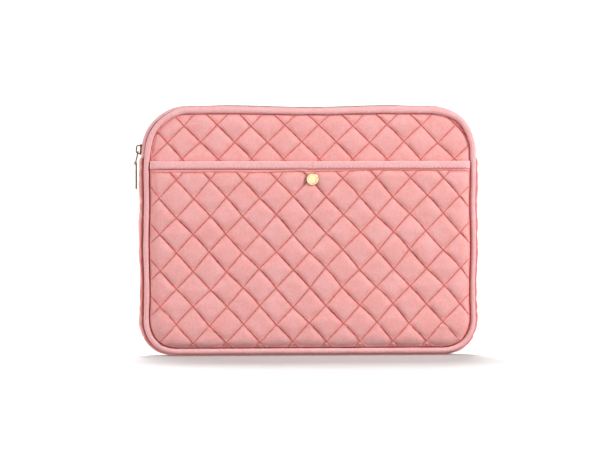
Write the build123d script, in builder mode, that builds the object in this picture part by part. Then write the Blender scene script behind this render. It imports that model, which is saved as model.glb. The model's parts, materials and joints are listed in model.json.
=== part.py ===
from build123d import *
import os
from math import atan2, cos, degrees, hypot, radians, sin

# Padded laptop sleeve in quilted velvet, standing upright. Millimetres, +Z up. The front faces -Y, and the
# origin lies on the floor under the middle of the sleeve, half way through the laptop's space.

# Front-view outline, to the outer edge of the piping.
HALF_WIDTH = 168.0
TOP = 251.2
BOTTOM = 2.0
TOP_RADIUS = 46.0
BOTTOM_RADIUS = 35.0
CORNER_X = HALF_WIDTH - TOP_RADIUS
CORNER_Z = TOP - TOP_RADIUS

# Clearances: between pieces that touch in use, and along a motion's hinge line.
SEWN_GAP = 0.1
CUT_GAP = 0.2

# Layers of a padded panel, from the laptop outwards.
CAVITY_HALF = 6.5
LINING = 0.6
FOAM = 2.6
VELVET = 1.0
PANEL = LINING + FOAM + VELVET
PANEL_FACE = CAVITY_HALF + PANEL
LINING_INSET = 1.3

# Piping: a covered cord on the edge of the front and back panels.
PIPING_RADIUS = 3.0
PIPING_COVER = 1.0
CORD_RADIUS = 1.85
PIPING_Y = CAVITY_HALF + LINING + SEWN_GAP + PIPING_RADIUS
PANEL_INSET = 2 * PIPING_RADIUS + CUT_GAP

# Gusset: the quilted band round the sides and the bottom, up to the ends of the zip.
GUSSET_HALF_WIDTH = 171.5
GUSSET_RADIUS = 38.0
GUSSET_TOP = 199.2
GUSSET_HALF_DEPTH = 7.0
GUSSET_CORNER_X = GUSSET_HALF_WIDTH - GUSSET_RADIUS

# Zip: two rows of teeth on tapes, with a velvet strip over each tape. Radii are from a top corner's centre.
ZIP_END = GUSSET_TOP + SEWN_GAP
TEETH_INNER, TEETH_OUTER = 44.1, 46.9
TAPE_INNER, TAPE_OUTER = 44.9, 45.5
STRIP_INNER, STRIP_OUTER = 45.55, 46.3
TEETH_NEAR, TEETH_FAR = 1.0, 3.1
TAPE_NEAR, TAPE_FAR = 3.15, 7.2
STRIP_NEAR, STRIP_FAR = 4.9, 8.0
STOP_HEIGHT = 2.2
STOP_REACH = 10.0

# The mouth folds forward along this line, just above the parked slider.
MOUTH_HINGE_Z = 214.2

# Slip pocket. Its back stands a snap's height in front of the front panel.
POCKET_GAP = 4.3
POCKET_LINING, POCKET_FOAM, POCKET_VELVET = 0.5, 1.6, 0.9
BINDING = 0.6
BINDING_BOTTOM, BINDING_TOP = 188.3, 196.6
POCKET_BACK = PANEL_FACE + POCKET_GAP + BINDING
POCKET_FACE = POCKET_BACK + POCKET_LINING + POCKET_FOAM + POCKET_VELVET
POCKET_INSET = PANEL_INSET + CUT_GAP

# Snap: a cap and socket on the pocket, a stud and rivet on the front panel.
SNAP_X, SNAP_Z = 2.6, 178.4
CAP_RADIUS, CAP_HEIGHT, CAP_ROUND = 6.2, 2.0, 0.65
CAP_RECESS_RADIUS, CAP_RECESS = 4.5, 0.6
CAP_DOME_RADIUS, CAP_DOME = 2.4, 0.25
POST_RADIUS, POST_HOLE_RADIUS = 1.5, 1.6
SOCKET_RADIUS, SOCKET_HEIGHT, SOCKET_ROOF = 5.4, 2.6, 0.6
SOCKET_BORE_RADIUS = 2.4
STUD_RADIUS, STUD_BASE = 5.2, 0.8
STUD_POST_RADIUS, STUD_HEAD_RADIUS, STUD_HEAD = 1.7, 2.05, 0.9
STUD_HEIGHT, STUD_ROUND = 3.8, 0.3
BACKING_RADIUS, BACKING = 4.5, 0.5

# Slider, drawn in its own frame: x runs outwards from the corner's centre, y up along the chain.
SLIDER_TILT = 3.4
SLIDER_LENGTH, SLIDER_HALF_WIDTH = 11.0, 4.3
PLATE = 1.2
TOP_PLATE_CLEAR, BOTTOM_PLATE_CLEAR = 0.4, 0.7
TOP_FLANGE_CLEAR, BOTTOM_FLANGE_CLEAR = 0.5, 0.7
TOP_PLATE_INNER = TEETH_OUTER + TOP_PLATE_CLEAR
BOTTOM_PLATE_OUTER = TEETH_INNER - BOTTOM_PLATE_CLEAR
PLATE_CORNER = 1.6
FLANGE = 0.8
TOP_FLANGE_END = TAPE_OUTER + TOP_FLANGE_CLEAR
BOTTOM_FLANGE_END = TAPE_INNER - BOTTOM_FLANGE_CLEAR
NECK_LENGTH, NECK_WIDTH = 1.6, 1.0
BRIDGE_FOOT = TOP_PLATE_INNER + PLATE
BRIDGE_HEIGHT, BRIDGE_LENGTH, BRIDGE_WIDTH = 4.1, 9.2, 2.2
BRIDGE_WIRE = 1.3

# Pull: a link on the bridge and a tag on the link.
LINK_PIVOT_RADIUS, LINK_PIVOT_RISE = 50.2, -2.3
KNUCKLE_X, KNUCKLE_Z = -174.9, 194.2
LINK_WIDTH, LINK_WIRE, LINK_CORNER = 7.2, 0.6, 1.5
KNUCKLE_RADIUS, KNUCKLE_BORE, KNUCKLE_LENGTH = 1.45, 0.9, 5.0
TAG_INNER_X, TAG_THICKNESS, TAG_CHAMFER = -173.35, 1.5, 0.3
TAG_TOP_RADIUS, TAG_END_RADIUS = 2.4, 3.4
TAG_TOP_Z, TAG_BOTTOM = 192.4, 168.2

os.makedirs("parts", exist_ok=True)


def save(piece, name):
    """Labels a finished piece and writes its STEP file."""
    piece.part.label = name
    export_step(piece.part, f"parts/{name}.step")


def depth_plane(y):
    """Plane across the sleeve at depth y. Its local x is X, its local y is Z, and it faces the front."""
    return Plane.XZ.offset(-y)


def outline(half_width, bottom, top, bottom_radius, top_radius):
    """Rectangle with one radius at its bottom corners and another at its top corners."""
    with BuildSketch() as shape:
        with Locations((0, (bottom + top) / 2)):
            Rectangle(2 * half_width, top - bottom)
        fillet(shape.vertices().group_by(Axis.Y)[0], bottom_radius)
        fillet(shape.vertices().group_by(Axis.Y)[-1], top_radius)
    return shape.sketch


def sleeve_outline(inset, bottom=BOTTOM):
    """Outline that lies `inset` inside the piping's outer edge."""
    return outline(
        HALF_WIDTH - inset, bottom + inset, TOP - inset, BOTTOM_RADIUS - inset, TOP_RADIUS - inset
    )


def gusset_outline(inset):
    """Outline that lies `inset` inside the gusset's outer face."""
    return outline(GUSSET_HALF_WIDTH - inset, inset, TOP, GUSSET_RADIUS - inset, TOP_RADIUS)


def zip_outline(radius):
    """Outline that passes round the top corners at this radius."""
    return sleeve_outline(TOP_RADIUS - radius)


def panel_layers(lining, foam, velvet, start):
    """Name, inner distance from the middle, and thickness of each layer, from the inside outwards."""
    return [
        ("lining", start, lining),
        ("foam", start + lining, foam),
        ("velvet", start + lining + foam, velvet),
    ]


def panel_face(layer):
    """Cut shape of one layer of the front or back panel. The lining reaches under the piping."""
    if layer == "lining":
        return sleeve_outline(LINING_INSET, bottom=PANEL - LINING_INSET + CUT_GAP)
    return sleeve_outline(PANEL_INSET)


# Front panel: the part below the mouth's fold, and the strip above it.
for layer, inner, thickness in panel_layers(LINING, FOAM, VELVET, CAVITY_HALF):
    for name, side in ((f"front_{layer}", Keep.BOTTOM), (f"mouth_{layer}", Keep.TOP)):
        with BuildPart() as front_layer:
            with BuildSketch(depth_plane(-inner)):
                add(panel_face(layer))
                with Locations((SNAP_X, SNAP_Z)):
                    Circle(POST_HOLE_RADIUS, mode=Mode.SUBTRACT)
            extrude(amount=thickness)
            split(bisect_by=Plane.XY.offset(MOUTH_HINGE_Z), keep=side)
        save(front_layer, name)

# Back panel.
for layer, inner, thickness in panel_layers(LINING, FOAM, VELVET, CAVITY_HALF):
    with BuildPart() as back_layer:
        with BuildSketch(depth_plane(inner)):
            add(panel_face(layer))
        extrude(amount=-thickness)
    save(back_layer, f"back_{layer}")


def piping_run(y, outer_radius, inner_radius):
    """Closed run round a panel's edge: a hollow cover, or a solid cord where inner_radius is 0."""
    edge = (depth_plane(y) * sleeve_outline(PIPING_RADIUS)).wire()
    with BuildPart() as run:
        with BuildSketch(edge ^ 0):
            Circle(outer_radius)
            if inner_radius:
                Circle(inner_radius, mode=Mode.SUBTRACT)
        sweep(path=edge)
    return run.part


# Piping: the cover and its filler cord. The front one is cut where the mouth folds.
for piece, outer, inner in (
    ("piping", PIPING_RADIUS, PIPING_RADIUS - PIPING_COVER),
    ("piping_cord", CORD_RADIUS, 0),
):
    with BuildPart() as back_run:
        add(piping_run(PIPING_Y, outer, inner))
    save(back_run, f"back_{piece}")
    for name, side in ((f"front_{piece}", Keep.BOTTOM), (f"mouth_{piece}", Keep.TOP)):
        with BuildPart() as front_run:
            add(piping_run(-PIPING_Y, outer, inner))
            split(bisect_by=Plane.XY.offset(MOUTH_HINGE_Z), keep=side)
        save(front_run, name)

# Gusset: a band round both sides and the bottom, in the same three layers as the panels.
# Its velvet and its lining are cut where the straight runs meet the corners. Its foam is one piece.
gusset_cuts = {
    "left": (-GUSSET_HALF_WIDTH, -GUSSET_CORNER_X, GUSSET_RADIUS, GUSSET_TOP),
    "left_corner": (-GUSSET_HALF_WIDTH, -GUSSET_CORNER_X, 0, GUSSET_RADIUS),
    "bottom": (-GUSSET_CORNER_X, GUSSET_CORNER_X, 0, GUSSET_RADIUS),
    "right_corner": (GUSSET_CORNER_X, GUSSET_HALF_WIDTH, 0, GUSSET_RADIUS),
    "right": (GUSSET_CORNER_X, GUSSET_HALF_WIDTH, GUSSET_RADIUS, GUSSET_TOP),
}
for layer, inner, thickness in panel_layers(LINING, FOAM, VELVET, -PANEL):
    with BuildPart() as gusset_layer:
        with BuildSketch(depth_plane(0)):
            add(gusset_outline(-inner - thickness))
            add(gusset_outline(-inner), mode=Mode.SUBTRACT)
        extrude(amount=GUSSET_HALF_DEPTH, both=True)
        split(bisect_by=Plane.XY.offset(GUSSET_TOP), keep=Keep.BOTTOM)
    if layer == "foam":
        save(gusset_layer, "gusset_foam")
        continue
    for place, (left, right, low, high) in gusset_cuts.items():
        with BuildPart() as gusset_run:
            add(gusset_layer.part)
            with Locations(((left + right) / 2, 0, (low + high) / 2)):
                Box(right - left, 2 * GUSSET_HALF_DEPTH, high - low, mode=Mode.INTERSECT)
        save(gusset_run, f"gusset_{layer}_{place}")


def zip_band(inner_radius, outer_radius, near, far, front, end_stop):
    """One band of the zip, from end to end over the mouth, on the front or the back half.

    end_stop leaves room for a stop at its right end.
    """
    with BuildPart() as band:
        with BuildSketch(depth_plane(-near if front else far)):
            add(zip_outline(outer_radius))
            add(zip_outline(inner_radius), mode=Mode.SUBTRACT)
        extrude(amount=far - near)
        split(bisect_by=Plane.XY.offset(ZIP_END), keep=Keep.TOP)
        if end_stop:
            with Locations((HALF_WIDTH, 0, ZIP_END)):
                Box(2 * STOP_REACH, 2 * STOP_REACH, 2 * STOP_HEIGHT, mode=Mode.SUBTRACT)
    return band.part


# Zip: teeth, tape and velvet strip. The front half's ends below the fold stay with the sleeve.
for piece, inner, outer, near, far in (
    ("zip_teeth", TEETH_INNER, TEETH_OUTER, TEETH_NEAR, TEETH_FAR),
    ("zip_tape", TAPE_INNER, TAPE_OUTER, TAPE_NEAR, TAPE_FAR),
    ("zip_strip", STRIP_INNER, STRIP_OUTER, STRIP_NEAR, STRIP_FAR),
):
    has_stop = piece == "zip_teeth"
    with BuildPart() as back_half:
        add(zip_band(inner, outer, near, far, front=False, end_stop=has_stop))
    save(back_half, f"back_{piece}")
    for name, side in ((f"front_{piece}_ends", Keep.BOTTOM), (f"mouth_{piece}", Keep.TOP)):
        with BuildPart() as front_half:
            add(zip_band(inner, outer, near, far, front=True, end_stop=has_stop))
            split(bisect_by=Plane.XY.offset(MOUTH_HINGE_Z), keep=side)
        save(front_half, name)

# End stops: a crimp on each row, where the teeth end at the right.
with BuildPart() as zip_end_stops:
    stop_x = CORNER_X + (TEETH_INNER + TEETH_OUTER) / 2
    stop_y = (TEETH_NEAR + TEETH_FAR) / 2
    with Locations((stop_x, stop_y, ZIP_END + STOP_HEIGHT / 2), (stop_x, -stop_y, ZIP_END + STOP_HEIGHT / 2)):
        Box(TEETH_OUTER - TEETH_INNER, TEETH_FAR - TEETH_NEAR, STOP_HEIGHT)
save(zip_end_stops, "zip_end_stops")

# Pocket: three layers with a square-cut top edge.
for layer, inner, thickness in panel_layers(POCKET_LINING, POCKET_FOAM, POCKET_VELVET, POCKET_BACK):
    with BuildPart() as pocket_layer:
        with BuildSketch(depth_plane(-inner)):
            add(sleeve_outline(POCKET_INSET))
            with Locations((SNAP_X, SNAP_Z)):
                Circle(POST_HOLE_RADIUS, mode=Mode.SUBTRACT)
        extrude(amount=thickness)
        split(bisect_by=Plane.XY.offset(BINDING_TOP - BINDING), keep=Keep.BOTTOM)
    save(pocket_layer, f"pocket_{layer}")

# Pocket binding: a strip folded over the pocket's top edge.
with BuildPart() as pocket_binding:
    with BuildSketch(Plane.YZ):
        with Locations((-(POCKET_BACK + POCKET_FACE) / 2, BINDING_TOP)):
            Rectangle(
                POCKET_FACE - POCKET_BACK + 2 * BINDING,
                BINDING_TOP - BINDING_BOTTOM,
                align=(Align.CENTER, Align.MAX),
            )
        with Locations((-(POCKET_BACK + POCKET_FACE) / 2, BINDING_TOP - BINDING)):
            Rectangle(
                POCKET_FACE - POCKET_BACK,
                BINDING_TOP - BINDING_BOTTOM,
                align=(Align.CENTER, Align.MAX),
                mode=Mode.SUBTRACT,
            )
    extrude(amount=HALF_WIDTH - POCKET_INSET, both=True)
save(pocket_binding, "pocket_binding")

# Snap cap: a shallow cup with a raised rim and a low dome, on a post through the pocket.
with BuildPart() as snap_cap:
    with BuildSketch(depth_plane(-POCKET_FACE)):
        with Locations((SNAP_X, SNAP_Z)):
            Circle(CAP_RADIUS)
    extrude(amount=CAP_HEIGHT)
    fillet(snap_cap.faces().sort_by(Axis.Y)[0].edges(), CAP_ROUND)
    with BuildSketch(depth_plane(-POCKET_FACE - CAP_HEIGHT)):
        with Locations((SNAP_X, SNAP_Z)):
            Circle(CAP_RECESS_RADIUS)
            Circle(CAP_DOME_RADIUS, mode=Mode.SUBTRACT)
    extrude(amount=-CAP_RECESS, mode=Mode.SUBTRACT)
    with BuildSketch(depth_plane(-POCKET_FACE - CAP_HEIGHT)):
        with Locations((SNAP_X, SNAP_Z)):
            Circle(CAP_DOME_RADIUS)
    extrude(amount=-CAP_DOME, mode=Mode.SUBTRACT)
    with BuildSketch(depth_plane(-POCKET_BACK)):
        with Locations((SNAP_X, SNAP_Z)):
            Circle(POST_RADIUS)
    extrude(amount=POCKET_FACE - POCKET_BACK)
save(snap_cap, "snap_cap")

# Snap socket: a cup on the back of the pocket that opens towards the stud.
with BuildPart() as snap_socket:
    with BuildSketch(depth_plane(-POCKET_BACK)):
        with Locations((SNAP_X, SNAP_Z)):
            Circle(SOCKET_RADIUS)
    extrude(amount=-SOCKET_HEIGHT)
    with BuildSketch(depth_plane(-POCKET_BACK + SOCKET_HEIGHT)):
        with Locations((SNAP_X, SNAP_Z)):
            Circle(SOCKET_BORE_RADIUS)
    extrude(amount=SOCKET_HEIGHT - SOCKET_ROOF, mode=Mode.SUBTRACT)
    fillet(snap_socket.faces().sort_by(Axis.Y)[-1].outer_wire().edges(), SOCKET_ROOF)
save(snap_socket, "snap_socket")

# Snap stud: a flanged post with a wider head, on the front panel.
with BuildPart() as snap_stud:
    for radius, start, height in (
        (STUD_RADIUS, 0, STUD_BASE),
        (STUD_POST_RADIUS, STUD_BASE, STUD_HEIGHT - STUD_BASE - STUD_HEAD),
        (STUD_HEAD_RADIUS, STUD_HEIGHT - STUD_HEAD, STUD_HEAD),
    ):
        with BuildSketch(depth_plane(-PANEL_FACE - start)):
            with Locations((SNAP_X, SNAP_Z)):
                Circle(radius)
        extrude(amount=height)
    fillet(snap_stud.faces().sort_by(Axis.Y)[0].edges(), STUD_ROUND)
save(snap_stud, "snap_stud")

# Stud rivet: a backing disc inside the lining, with a post through the panel.
with BuildPart() as stud_rivet:
    with BuildSketch(depth_plane(-CAVITY_HALF)):
        with Locations((SNAP_X, SNAP_Z)):
            Circle(BACKING_RADIUS)
    extrude(amount=-BACKING)
    with BuildSketch(depth_plane(-CAVITY_HALF)):
        with Locations((SNAP_X, SNAP_Z)):
            Circle(POST_RADIUS)
    extrude(amount=PANEL)
save(stud_rivet, "stud_rivet")

# Slider body: two plates round the chain, joined by a neck, with a flange along each side of both.
tilt = radians(SLIDER_TILT)
slider_frame = Plane(origin=(-CORNER_X, 0, CORNER_Z), x_dir=(-cos(tilt), 0, sin(tilt)), z_dir=(0, 1, 0))
with BuildPart() as slider_body:
    with BuildSketch(slider_frame):
        for plate_start in (BOTTOM_PLATE_OUTER - PLATE, TOP_PLATE_INNER):
            with Locations((plate_start + PLATE / 2, 0)):
                Rectangle(PLATE, SLIDER_LENGTH)
    extrude(amount=SLIDER_HALF_WIDTH, both=True)
    plate_edges = slider_body.edges().filter_by(Axis(slider_frame.origin, slider_frame.x_dir))
    fillet(plate_edges, PLATE_CORNER)
    for flange_start in (-SLIDER_HALF_WIDTH, SLIDER_HALF_WIDTH - FLANGE):
        with BuildSketch(slider_frame.offset(flange_start)):
            for low, high in ((BOTTOM_PLATE_OUTER, BOTTOM_FLANGE_END), (TOP_FLANGE_END, TOP_PLATE_INNER)):
                with Locations(((low + high) / 2, 0)):
                    Rectangle(high - low, SLIDER_LENGTH - 2 * PLATE_CORNER)
        extrude(amount=FLANGE)
    with BuildSketch(slider_frame):
        with Locations(((BOTTOM_PLATE_OUTER + TOP_PLATE_INNER) / 2, (SLIDER_LENGTH - NECK_LENGTH) / 2)):
            Rectangle(TOP_PLATE_INNER - BOTTOM_PLATE_OUTER, NECK_LENGTH)
    extrude(amount=NECK_WIDTH / 2, both=True)
save(slider_body, "slider_body")

# Slider bridge: an arch on the outer plate that the link hangs from.
with BuildPart() as slider_bridge:
    with BuildSketch(slider_frame) as arch:
        with Locations((BRIDGE_FOOT, 0)):
            Rectangle(BRIDGE_HEIGHT, BRIDGE_LENGTH, align=(Align.MIN, Align.CENTER))
        fillet(arch.vertices().group_by(Axis.X)[-1], BRIDGE_WIRE * 2)
        with BuildSketch(mode=Mode.SUBTRACT) as eye:
            with Locations((BRIDGE_FOOT, 0)):
                Rectangle(
                    BRIDGE_HEIGHT - BRIDGE_WIRE,
                    BRIDGE_LENGTH - 2 * BRIDGE_WIRE,
                    align=(Align.MIN, Align.CENTER),
                )
            fillet(eye.vertices().group_by(Axis.X)[-1], BRIDGE_WIRE)
    extrude(amount=BRIDGE_WIDTH / 2, both=True)
save(slider_bridge, "slider_bridge")

# Pull link: a wire loop whose top bar hangs in the bridge and whose bottom bar carries the tag.
link_pivot = slider_frame.from_local_coords(Vector(LINK_PIVOT_RADIUS, LINK_PIVOT_RISE, 0))
link_length = hypot(KNUCKLE_X - link_pivot.X, KNUCKLE_Z - link_pivot.Z)
link_lean = atan2(link_pivot.X - KNUCKLE_X, link_pivot.Z - KNUCKLE_Z)
link_plane = Plane(origin=link_pivot, x_dir=(0, 1, 0), z_dir=(-cos(link_lean), 0, sin(link_lean)))
with BuildPart() as pull_link:
    with BuildLine(link_plane) as loop:
        half_loop = LINK_WIDTH / 2
        FilletPolyline(
            (-half_loop, 0),
            (half_loop, 0),
            (half_loop, link_length),
            (-half_loop, link_length),
            radius=LINK_CORNER,
            close=True,
        )
    with BuildSketch(loop.line ^ 0):
        Circle(LINK_WIRE)
    sweep(path=loop.line)
save(pull_link, "pull_link")

# Pull tag: a tapered tab whose top is rolled round the link's bottom bar.
with BuildPart() as pull_tag:
    with BuildSketch(Plane.YZ.offset(TAG_INNER_X)):
        with Locations((0, TAG_TOP_Z)):
            Circle(TAG_TOP_RADIUS)
        with Locations((0, TAG_BOTTOM + TAG_END_RADIUS)):
            Circle(TAG_END_RADIUS)
        make_hull()
    extrude(amount=-TAG_THICKNESS)
    chamfer(pull_tag.faces().filter_by(Axis.X).edges(), TAG_CHAMFER)
    with BuildSketch(depth_plane(0)):
        with Locations((KNUCKLE_X, KNUCKLE_Z)):
            Circle(KNUCKLE_RADIUS)
    extrude(amount=KNUCKLE_LENGTH / 2, both=True)
    with BuildSketch(depth_plane(0)):
        with Locations((KNUCKLE_X, KNUCKLE_Z)):
            Circle(KNUCKLE_BORE)
    extrude(amount=KNUCKLE_LENGTH, both=True, mode=Mode.SUBTRACT)
save(pull_tag, "pull_tag")

print("mouth hinge line at y", -PIPING_Y - PIPING_RADIUS - SEWN_GAP, "z", MOUTH_HINGE_Z)
print("pocket hinge line at y", -(POCKET_BACK + POCKET_FACE) / 2, "z", BOTTOM + POCKET_INSET)
print("slider turns about x", -CORNER_X, "z", CORNER_Z)
print("link pivot", link_pivot, "lean in degrees", degrees(link_lean))
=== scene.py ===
import json
import math

import bmesh
import bpy
import numpy as np
from mathutils import Matrix, Vector


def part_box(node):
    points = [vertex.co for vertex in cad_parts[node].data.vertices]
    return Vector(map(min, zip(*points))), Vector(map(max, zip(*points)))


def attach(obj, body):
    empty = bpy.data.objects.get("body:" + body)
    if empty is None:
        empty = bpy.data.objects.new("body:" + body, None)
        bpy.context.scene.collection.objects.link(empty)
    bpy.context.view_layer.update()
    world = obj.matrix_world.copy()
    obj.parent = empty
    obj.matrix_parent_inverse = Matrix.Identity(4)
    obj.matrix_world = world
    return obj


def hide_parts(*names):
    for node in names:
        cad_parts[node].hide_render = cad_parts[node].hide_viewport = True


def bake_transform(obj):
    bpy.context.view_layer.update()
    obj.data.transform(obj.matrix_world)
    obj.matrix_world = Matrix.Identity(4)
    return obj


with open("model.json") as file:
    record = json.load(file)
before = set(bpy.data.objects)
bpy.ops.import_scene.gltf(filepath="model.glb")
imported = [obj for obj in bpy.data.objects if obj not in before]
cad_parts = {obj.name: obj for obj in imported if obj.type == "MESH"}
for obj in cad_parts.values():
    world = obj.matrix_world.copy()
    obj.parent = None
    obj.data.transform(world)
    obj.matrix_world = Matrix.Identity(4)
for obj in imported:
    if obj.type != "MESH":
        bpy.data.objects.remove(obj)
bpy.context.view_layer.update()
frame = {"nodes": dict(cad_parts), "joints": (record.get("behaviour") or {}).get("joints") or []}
pieces = {}

# ---------------------------------------------------------------- sizes, in metres, from the frame
MM = 0.001
piping_low, piping_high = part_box("back_piping")
gusset_foam_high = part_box("gusset_foam")[1]
gusset_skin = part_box("gusset_velvet_right")[1].x - gusset_foam_high.x
gusset_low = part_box("gusset_foam")[0] - Vector((gusset_skin, 0, gusset_skin))
gusset_high = gusset_foam_high + Vector((gusset_skin, 0, 0))
panel_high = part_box("back_velvet")[1]
pocket_low, pocket_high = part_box("pocket_velvet")
binding_low, binding_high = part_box("pocket_binding")
cap_low, cap_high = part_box("snap_cap")
teeth_low, teeth_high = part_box("back_zip_teeth")
lining_low, lining_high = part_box("back_lining")
snap = (cap_low + cap_high) / 2
hinges = {joint["name"]: Vector(joint["pos_m"]) for joint in frame["joints"]}

# Each front or back piece lies at -y or +y, and each half of the pocket at -x or +x.
FRONT_BACK = {"front": -1, "back": 1}
HALVES = {"left": -1, "right": 1}

HALF_WIDTH = piping_high.x
TOP, BOTTOM = piping_high.z, piping_low.z
TOP_RADIUS = HALF_WIDTH + hinges["slider_travel"].x
BOTTOM_RADIUS = 35 * MM
PIPING_RADIUS = (piping_high.y - piping_low.y) / 2
PIPING_Y = piping_high.y - PIPING_RADIUS
GUSSET_RADIUS = 38 * MM
GUSSET_TOP = gusset_high.z
SEAM_INSET = 0.6 * MM
PANEL_FACE = panel_high.y
PANEL_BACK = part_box("back_foam")[0].y
PANEL_INSET = HALF_WIDTH - panel_high.x - SEAM_INSET
PANEL_TOP = TOP - 7.4 * MM
LINING_INSET = HALF_WIDTH - lining_high.x
POCKET_INSET = HALF_WIDTH - pocket_high.x
POCKET_TOP = pocket_high.z

# Quilting: the diamond's width and height, and the x and z of one crossing of its lines.
POCKET_QUILT = (33.7 * MM, 36.5 * MM, snap.x - 2.8 * MM, snap.z + 0.4 * MM)
PANEL_QUILT = (34.3 * MM, 34.0 * MM, 9.6 * MM, 198.6 * MM)
GUSSET_DIAMOND = (33.9 * MM, 30 * MM)
CROWN, GUSSET_CROWN = 2.9 * MM, 1.9 * MM
CELL_STEPS = 14
CORNER_STEPS = 9
SEAM_CROWDING = 0.78
SEAM_LINE = 0.5 * MM
SEAM_BAND = 1.8 * MM
# The rising lines get this share of the seam value: lighter painted seam shade, as the light from the upper right
# falls along them, and a narrower held band of cloth.
RISING_SEAM = 0.8
CELL_EDGE = 1.7 * MM
SEWN_EDGE = 2.6 * MM
WOBBLE_EDGE = 12 * MM

# Cloth simulation of the quilted faces, run at a scale that suits the solver.
CLOTH_SCALE = 20
CLOTH_EXCESS = 0.03
CLOTH_PRESSURE = 3.0
CLOTH_FRAMES = 14
CLOTH_CAP = 1.2 * MM
HELD_SEAM = 0.7

# Where the sewn sleeve leaves its pattern, as distances from and to which each unevenness sets in.
TOP_WAVE = 84 * MM
SIDE_WAVE = 90 * MM
TOP_EDGE, TOP_MIDDLE = (236 * MM, 250 * MM), (50 * MM, 84 * MM)
SIDE_EDGE, SIDE_LOW, SIDE_HIGH = (120 * MM, 168 * MM), (20 * MM, 60 * MM), (150 * MM, 190 * MM)
FRONT_HALF = (6 * MM, 9 * MM)
PULLED_SIDE, PULLED_LOW, PULLED_TOP = (-150 * MM, -118 * MM), (190 * MM, 214 * MM), (225 * MM, 245 * MM)
FULL_CORNER, FULL_LOW, OFF_FLOOR = (128 * MM, 158 * MM), (10 * MM, 40 * MM), (0.2 * MM, 6 * MM)
FULL_RIGHT, FULL_TOP = (130 * MM, 155 * MM), (218 * MM, 240 * MM)


# ---------------------------------------------------------------- smooth curves and seeded noise
def waves(u, v, size, seed, count=7):
    """Smooth noise of about -1 to 1, as a sum of sine waves of about this size in random directions."""
    draw = np.random.default_rng(seed)
    total = np.zeros_like(np.asarray(u, float))
    for _ in range(count):
        turn, phase, stretch = draw.uniform(0, 2 * np.pi), draw.uniform(0, 2 * np.pi), draw.uniform(0.7, 1.4)
        total = total + np.sin(2 * np.pi * (u * np.cos(turn) + v * np.sin(turn)) / (size * stretch) + phase)
    return total / math.sqrt(count)


def ramp(value, low, high):
    """Smoothstep from 0 at low to 1 at high."""
    t = np.clip((value - low) / (high - low), 0, 1)
    return t * t * (3 - 2 * t)


def rise(distance, width):
    """0 at a seam, rising to 1 away from it, most of it within this width."""
    return 1 - np.exp(-distance / width)


def settle(points):
    """Unevenness that every soft piece shares: the top edge waves, the sides bow, the bottom corners and the
    right top corner are full, and the zip's pull draws the left top corner in."""
    x, z = points[:, 0], points[:, 2]
    top = ramp(z, *TOP_EDGE) * ramp(HALF_WIDTH - np.abs(x), *TOP_MIDDLE)
    points[:, 2] -= (0.55 + 0.9 * np.cos(np.pi * x / TOP_WAVE)) * MM * top
    side = ramp(np.abs(x), *SIDE_EDGE) * ramp(z, *SIDE_LOW) * (1 - ramp(z, *SIDE_HIGH))
    points[:, 0] += 0.5 * MM * side * np.sin(2 * np.pi * z / SIDE_WAVE) * np.sign(x)
    front = ramp(-points[:, 1], *FRONT_HALF)
    points[:, 0] += 0.9 * MM * np.abs(x) / HALF_WIDTH * front
    pulled = ramp(z, *PULLED_LOW) * (1 - ramp(x, *PULLED_SIDE)) * front
    points[:, 0] += 1.7 * MM * pulled
    points[:, 2] -= 0.5 * MM * pulled * ramp(z, *PULLED_TOP)
    full_low = ramp(np.abs(x), *FULL_CORNER) * (1 - ramp(z, *FULL_LOW))
    points[:, 0] += 0.9 * MM * full_low * np.sign(x)
    points[:, 2] -= 0.9 * MM * full_low * ramp(z, *OFF_FLOOR)
    full_right = ramp(x, *FULL_RIGHT) * ramp(z, *FULL_TOP)
    points[:, 0] += 1.1 * MM * full_right
    points[:, 2] += 0.9 * MM * full_right
    return points


# ---------------------------------------------------------------- outlines
def outline_distance(x, z, inset):
    """Distance inside the sleeve's outline, which lies `inset` inside the piping's outer edge."""
    top, bottom = TOP - inset, BOTTOM + inset
    middle, half_height = (top + bottom) / 2, (top - bottom) / 2
    radius = np.where(z > middle, TOP_RADIUS - inset, BOTTOM_RADIUS - inset)
    qx = np.abs(x) - (HALF_WIDTH - inset) + radius
    qz = np.abs(z - middle) - half_height + radius
    outside = np.hypot(np.maximum(qx, 0), np.maximum(qz, 0))
    return radius - outside - np.minimum(np.maximum(qx, qz), 0)


def outline_cuts(inset, bottom=None):
    """Half-planes, as a point and an outward normal, whose common part is the outline."""
    half_width, top = HALF_WIDTH - inset, TOP - inset
    low = BOTTOM + inset if bottom is None else bottom
    cuts = [((half_width, top), (1, 0)), ((-half_width, top), (-1, 0))]
    cuts += [((0, top), (0, 1)), ((0, low), (0, -1))]
    corners = (
        (TOP_RADIUS - inset, TOP - TOP_RADIUS, 1),
        (BOTTOM_RADIUS - inset, low + BOTTOM_RADIUS - inset, -1),
    )
    for side in (-1, 1):
        for radius, centre_z, up in corners:
            centre_x = side * (half_width - radius)
            for step in range(1, CORNER_STEPS):
                turn = math.pi / 2 * step / CORNER_STEPS
                normal = (side * math.cos(turn), up * math.sin(turn))
                cuts.append(((centre_x + normal[0] * radius, centre_z + normal[1] * radius), normal))
    return cuts


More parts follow.
